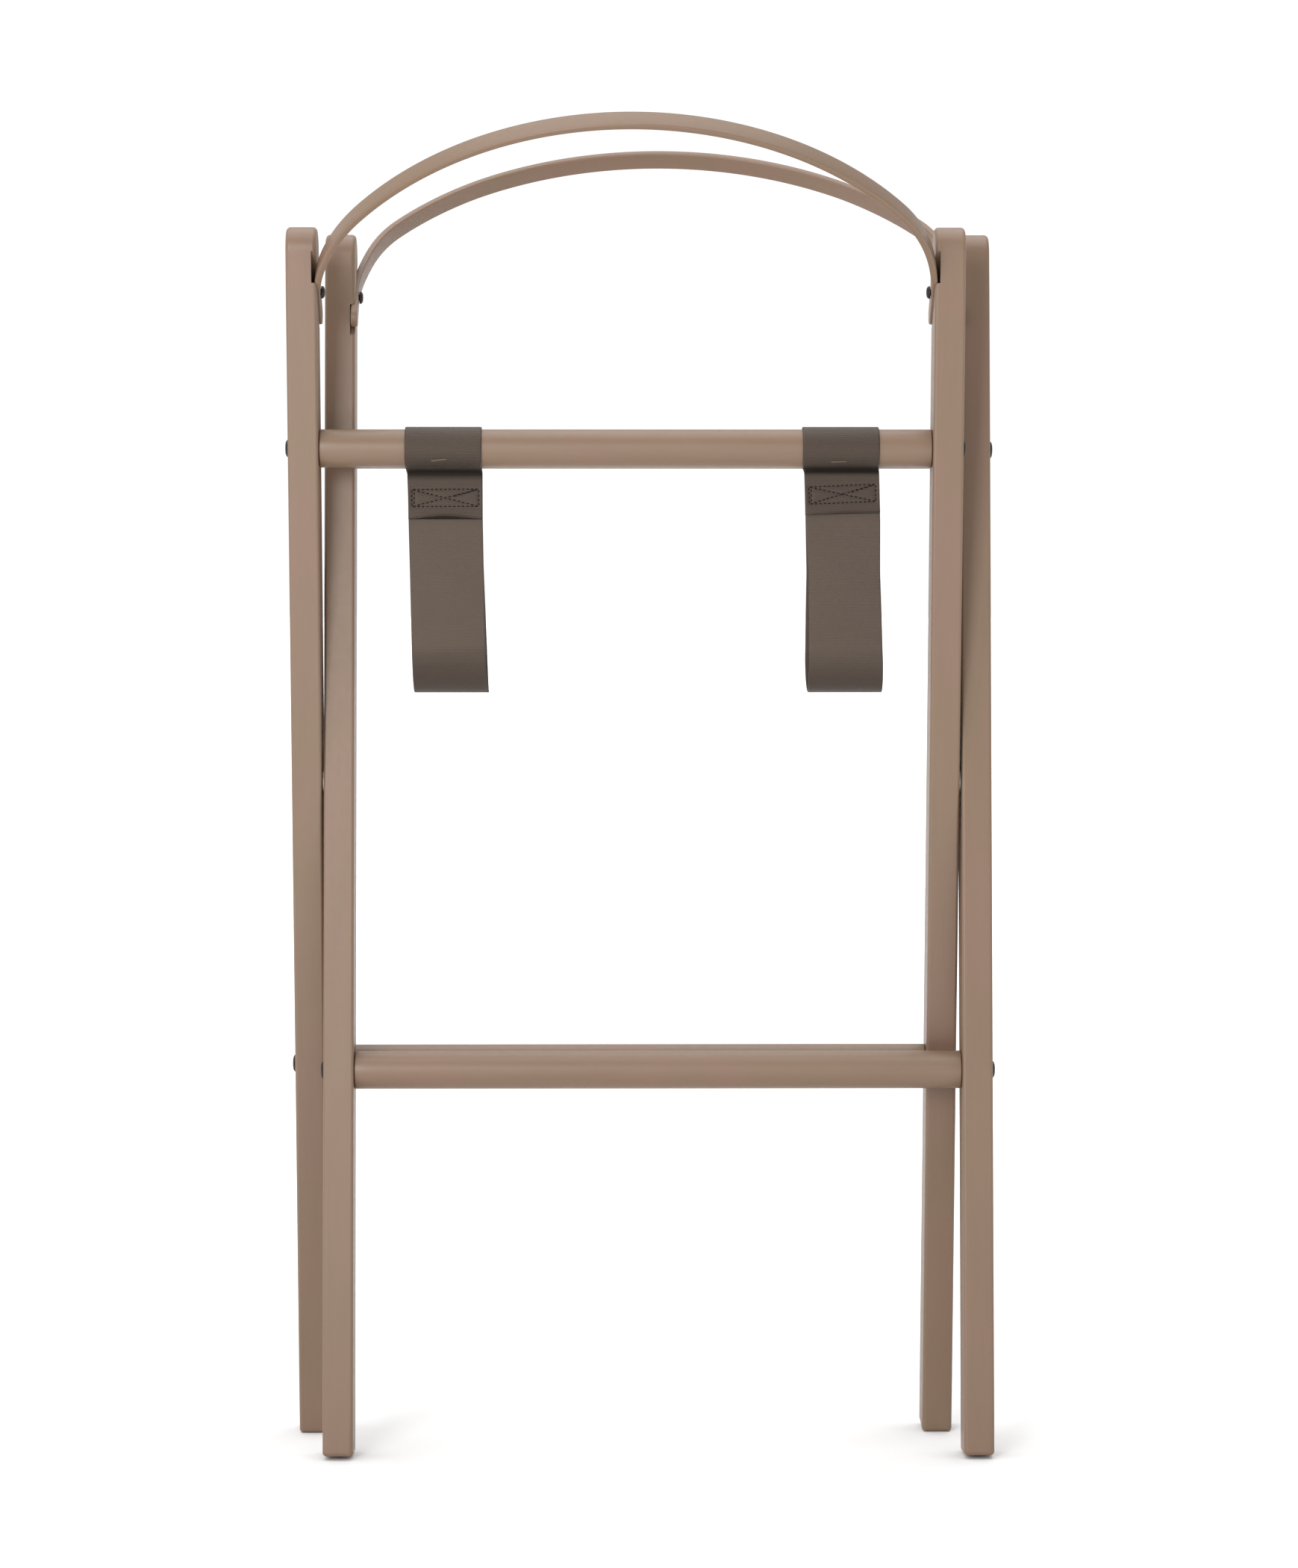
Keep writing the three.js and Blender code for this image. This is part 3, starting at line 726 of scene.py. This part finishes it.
def hang(web, half, across, y, z, level):
    """Where a point of the strap hangs in the row frame, in metres. y and z are from the bar's axis.

    The strap leans sideways, draws in below the bar, bows outwards above the loop and is slightly cupped.
    Level says how low the point counts as for these: round the loop it keeps falling with the length.
    """
    down = -level
    knots = (12, 16, 47, STRAP_DROP - web["loop"], STRAP_DROP + 12)
    shift = np.interp(down, knots, web["shifts"][half])
    drawn_in = SEWN_NARROWING * np.interp(down, (10, 16, 48, 81, 111, 151), (0, 0.8, 1, *web["slim"]))
    bow_starts = web["bow_from"] - web["bow_slant"] * across / WEB_WIDTH
    share = np.clip((down - bow_starts) / (BOW_ENDS - bow_starts), 0, 1)
    bow = web["bow"] * np.sin(math.pi * share) ** web["bow_softness"]
    cupped = STRAP_CUP * np.interp(down, (48, 85, 125, 150), (0, 1, 1, 0))
    cup = cupped * (1 - (2 * across / WEB_WIDTH) ** 2)
    turn = 1 if half == "front" else -1
    bar = web["bars"][half]
    x = web["x"] + shift + across * (1 - drawn_in)
    return np.column_stack([x, bar.y / MM + turn * (y + bow - cup), bar.z / MM + z]) * MM


def sewing_lines(web):
    """The stitch lines through both layers: a crossed box, with a second pass at its ends."""
    half = WEB_WIDTH / 2 - BOX_INSET

    def spot(across, below):
        slant = web["box_slant"] * (1 - across / half) / 2
        return across, -(web["box_top"] + below * BOX_HEIGHT) - slant

    corners = [spot(-half, 0), spot(half, 0), spot(half, 1), spot(-half, 1)]
    lines = [(corners[i], corners[(i + 1) % 4]) for i in range(4)]
    lines += [(corners[0], corners[2]), (corners[1], corners[3])]
    lines.append((spot(half - 1.4, 0.05), spot(half - 17, 0.42)))
    lines.append((spot(-half + 1.5, 0.1), spot(-half + 1.3, 0.9)))
    return np.array(lines)


def from_sewing(web, across, z):
    """Each point's distance from the nearest stitch line."""
    nearest = np.full(len(across), 1e3)
    spots = np.column_stack([across, z])
    for a, b in sewing_lines(web):
        along = np.clip((spots - a) @ (b - a) / ((b - a) @ (b - a)), 0, 1)
        nearest = np.minimum(nearest, np.linalg.norm(spots - a - along[:, None] * (b - a), axis=1))
    return nearest


def pucker(web, across, z):
    """How far the sewn face sinks at the stitches and swells between them."""
    distance = from_sewing(web, across, z)
    middle = -(web["box_top"] + BOX_HEIGHT / 2 + web["box_slant"] / 2)
    near = np.clip((BOX_HEIGHT / 2 + 5 - np.abs(z - middle)) / 5, 0, 1)
    swell = PUCKER_SWELL * (1 - np.exp(-(distance / 2.2) ** 2))
    sink = PUCKER_DEPTH * np.exp(-(distance / 0.8) ** 2)
    return near * (swell - sink)


def web_mesh(name, web, half, lengths, thinned=()):
    """A stretch of the strap through these lengths along it; thinned is the thickness of its last rings."""
    stretches = strap_stretches(web["flap_end"], web["loop"])
    ends = np.cumsum([reach for reach, _ in stretches])
    flap_until, sleeve_until, run_until = ends[0], ends[4], ends[6]
    sewn_until = ends[5] + SEWN_LENGTH
    loop_starts = -STRAP_DROP + web["loop"]
    section = web_section()
    rings, weave = [], []
    for i, length in enumerate(lengths):
        y, z, heading = follow(stretches, (-WEB_SPACING / 2, -web["flap_end"]), length)
        across, out = section.T
        if i >= len(lengths) - len(thinned):
            across = across * TONGUE_WIDTH_SHARE
            out = out * thinned[i - len(lengths)]
        level = np.full(len(across), z)
        if z < loop_starts:
            level -= length - run_until + z - loop_starts
        if length < flap_until or sleeve_until < length < sewn_until:
            out = out + np.where(out > 0, pucker(web, across, np.full(len(across), z)), 0)
        lift, fray = 0.0, np.zeros(len(across))
        if length < flap_until:
            lift = FLAP_LIFT * max(0, 1 - length / FLAP_LIFT_LENGTH) ** 2
            waved = web["wave"] * np.cos(3.3 * across / WEB_WIDTH * math.pi / 2)
            edge = waved + web["slant"] * across / WEB_WIDTH
            fray = edge * max(0, 1 - length / FLAP_FRAY_LENGTH) ** 2
            out = out * (0.7 + 0.3 * min(1, length / 0.5))
        ring_y = y - out * math.sin(heading) - lift
        ring_z = z + out * math.cos(heading) + fray
        rings.append(hang(web, half, across, ring_y, ring_z, level) / MM)
        weave.append(np.column_stack([across, np.full(len(across), length) - fray]))
    piece = loft(name, [rings], WEBBING)
    set_weave(piece, *(np.concatenate(weave) * MM).T)
    return piece


def stitches(name, web, half):
    """Lockstitches on both outer faces of the sewn layers."""
    pick = random.Random(web["seed"])
    tubes = []
    along = np.array([0.0, 0.15, 0.5, 0.85, 1.0])
    heights = np.array([-0.3, 0.0, 0.1, 0.0, -0.3]) + WEB_THICKNESS / 2 - PUCKER_DEPTH
    radii = np.array([0.1, 0.85, 1.0, 0.85, 0.1]) * THREAD_RADIUS
    for facing in (-1, 1):
        for a, b in sewing_lines(web):
            length = np.linalg.norm(b - a)
            direction = (b - a) / length
            sideways = np.array([-direction[1], direction[0]])
            count = max(1, round(length / STITCH_PITCH))
            for k in range(count):
                start = a + direction * (k + 0.14 + pick.uniform(-0.04, 0.04)) * length / count
                end = a + direction * (k + 0.9 + pick.uniform(-0.04, 0.04)) * length / count
                end = end + sideways * pick.uniform(-0.12, 0.12)
                rings = []
                for share, height, radius in zip(along, heights, radii):
                    turn = arc(radius, 0, 360, 8)[:-1]
                    spot = start + (end - start) * share + turn[:, :1] * sideways
                    out = facing * (WEB_SPACING / 2 + height + turn[:, 1])
                    rings.append(hang(web, half, spot[:, 0], out, spot[:, 1], spot[:, 1]) / MM)
                tubes.append(rings)
    piece = loft(name, tubes, THREAD)
    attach(piece, f"{half}_webbing")


def strap_facts(side):
    """What a strap's halves share: where it hangs, and its loop."""
    low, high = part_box(f"strap_{side}_front")
    bars = {}
    for half in ("front", "back"):
        bar_low, bar_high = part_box(f"{half}_upper_bar")
        bars[half] = (bar_low + bar_high) / 2
    loop = abs(bars["front"].y) / MM - WEB_SPACING / 2
    return {**STRAPS[side], "x": (low.x + high.x) / 2 / MM, "bars": bars, "loop": loop}


def make_strap_half(side, half):
    web = strap_facts(side)
    ends = np.cumsum([reach for reach, _ in strap_stretches(web["flap_end"], web["loop"])])
    sewn_until, run_end, bend, middle, tongue_end = ends[5] + SEWN_LENGTH, *ends[6:]
    name = f"strap_{side}_{half}"
    lengths = np.unique(np.concatenate([
        [0, 0.2, 0.5], spaced(1.0, sewn_until, 0.8), spaced(sewn_until, run_end, 2.5),
        spaced(run_end, bend - 0.1, 1.0), [bend]]))
    upper = web_mesh(name + "_web", web, half, lengths)
    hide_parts(name, name + "_bend_upper")
    lengths = np.concatenate([[bend], spaced(bend + 0.1, middle - 0.1, 1.0), [middle]])
    thinned = ()
    if half == "front":
        tongue = np.concatenate([[middle], spaced(middle + 0.5, tongue_end, 1.0)])
        lengths = np.concatenate([lengths, tongue])
        thinned = np.linspace(0.45, 0.15, len(tongue))
    lower = web_mesh(name + "_loop", web, half, lengths, thinned)
    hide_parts(name + "_bend_lower")
    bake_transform(upper)
    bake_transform(lower)
    stitches(f"stitching_{side}_{half}", web, half)


# --- The rack ----------------------------------------------------------------------------------------

def make_frame(name, turned, seed):
    axes = frame_axes(name, turned)
    arch = arch_sizes(name, axes)
    wood = [(f"{name}_leg_outer", make_leg(f"{name}_leg_outer", axes, -1, arch, seed)),
            (f"{name}_leg_inner", make_leg(f"{name}_leg_inner", axes, 1, arch, seed + 1)),
            (f"{name}_upper_bar", make_bar(f"{name}_upper_bar", axes, seed + 2)),
            (f"{name}_lower_bar", make_bar(f"{name}_lower_bar", axes, seed + 3)),
            (f"{name}_arch", make_arch(name, axes, arch, ARCH_BENDS[name], seed + 4))]
    screws = [(f"{name}_{bar}_bolt_{label}", BOLT_SOCKET, BOLT_SEAT_ROUND) for bar in ("upper", "lower")
              for label in ("outer", "inner")]
    screws += [(f"{name}_arch_screw_{label}", SCREW_SOCKET, SCREW_SEAT_ROUND) for label in ("outer", "inner")]
    for cad_name, piece in wood:
        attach(piece, f"{name}_frame")
        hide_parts(cad_name)
    for cad_name, socket, rounding in screws:
        piece = make_screw(cad_name, axes, socket, rounding)
        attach(piece, f"{name}_frame")
        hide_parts(cad_name)


def make_staples(name, turned):
    for side in ("left", "right"):
        web = strap_facts(side)
        hub = Vector((web["x"] * MM, web["bars"][name].y, web["bars"][name].z))
        spin = Matrix.Rotation(math.pi if turned else 0, 4, "Z")
        piece = make_staple(f"staple_{side}_{name}_wire", Matrix.Translation(hub) @ spin, side)
        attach(piece, f"{name}_frame")
        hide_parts(f"staple_{side}_{name}")


def finish_cad_metal():
    """The inserts, pins and washers keep their CAD shape and get the plated steel."""
    for name, piece in frame["nodes"].items():
        if any(word in name for word in ("insert", "pivot")):
            piece.data.materials.clear()
            piece.data.materials.append(ZINC)


# --- Studio ------------------------------------------------------------------------------------------

def add_floor():
    mesh = bpy.data.meshes.new("floor")
    reach = 30.0
    corners = [(-reach, -reach, 0), (reach, -reach, 0), (reach, reach, 0), (-reach, reach, 0)]
    mesh.from_pydata(corners, [], [(0, 1, 2, 3)])
    mesh.materials.append(floor_material())
    floor = bpy.data.objects.new("floor", mesh)
    bpy.context.scene.collection.objects.link(floor)


def direction_to(azimuth, elevation):
    """Towards a light; azimuth 0 is straight in front and positive is to the left, in degrees."""
    a, e = math.radians(azimuth), math.radians(elevation)
    return Vector((-math.sin(a) * math.cos(e), -math.cos(a) * math.cos(e), math.sin(e)))


def add_light(name, target, azimuth, elevation, distance, size, irradiance):
    """A softbox of this width and height, in metres; irradiance is over pi."""
    towards = direction_to(azimuth, elevation)
    lamp = bpy.data.lights.new(name, "AREA")
    lamp.shape = "RECTANGLE"
    lamp.size, lamp.size_y = size
    lamp.energy = irradiance * (math.pi * distance) ** 2
    light = bpy.data.objects.new(name, lamp)
    light.location = Vector(target) + towards * distance
    light.rotation_euler = towards.to_track_quat("Z", "Y").to_euler()
    bpy.context.scene.collection.objects.link(light)


def add_sun(name, azimuth, elevation, spread, irradiance):
    """Light from so far off that it reaches the whole floor evenly."""
    towards = direction_to(azimuth, elevation)
    lamp = bpy.data.lights.new(name, "SUN")
    lamp.angle = math.radians(spread)
    lamp.energy = irradiance * math.pi
    light = bpy.data.objects.new(name, lamp)
    light.rotation_euler = towards.to_track_quat("Z", "Y").to_euler()
    bpy.context.scene.collection.objects.link(light)


def light_studio():
    """White surroundings that are dimmer at the front right, a low key light and a wide ceiling."""
    world = bpy.data.worlds.new("studio")
    world.use_nodes = True
    tree = world.node_tree
    direction = node(tree, "ShaderNodeTexCoord", {}, output="Generated")
    split = tree.nodes.new("ShaderNodeSeparateXYZ")
    tree.links.new(direction, split.inputs[0])
    leftward = maths(tree, "MULTIPLY", split.outputs[0], -0.6)
    backward = maths(tree, "MULTIPLY", split.outputs[1], 0.8)
    away = ranged(tree, maths(tree, "ADD", leftward, backward), -0.6, 0.2, 0.0, 1.0)
    tone = blended(tree, away, (0.62, 0.62, 0.62, 1), (1.05, 1.05, 1.05, 1))
    tree.links.new(tone, tree.nodes["Background"].inputs["Color"])
    bpy.context.scene.world = world
    add_light("key", (0, 0, 0.45), 20, 15, 3.8, (1.1, 1.7), 0.54)
    add_sun("ceiling", 0, 93, 70, 0.6)


def add_camera():
    """A long lens at about two thirds of the rack's height, looking slightly down."""
    camera = bpy.data.cameras.new("camera")
    camera.lens = 97.08
    camera.sensor_width = 36
    camera.dof.use_dof = False
    holder = bpy.data.objects.new("camera", camera)
    holder.location = (-0.02162, -2.7999, 0.6028)
    holder.rotation_euler = (math.radians(90 - 3.31), 0, math.radians(-0.54))
    bpy.context.scene.collection.objects.link(holder)
    bpy.context.scene.camera = holder


make_frame("front", False, 11)
make_frame("back", True, 31)
for strap_side in ("left", "right"):
    make_strap_half(strap_side, "front")
    make_strap_half(strap_side, "back")
make_staples("front", False)
make_staples("back", True)
finish_cad_metal()
add_floor()
light_studio()
add_camera()
bpy.context.scene.view_settings.view_transform = "Standard"
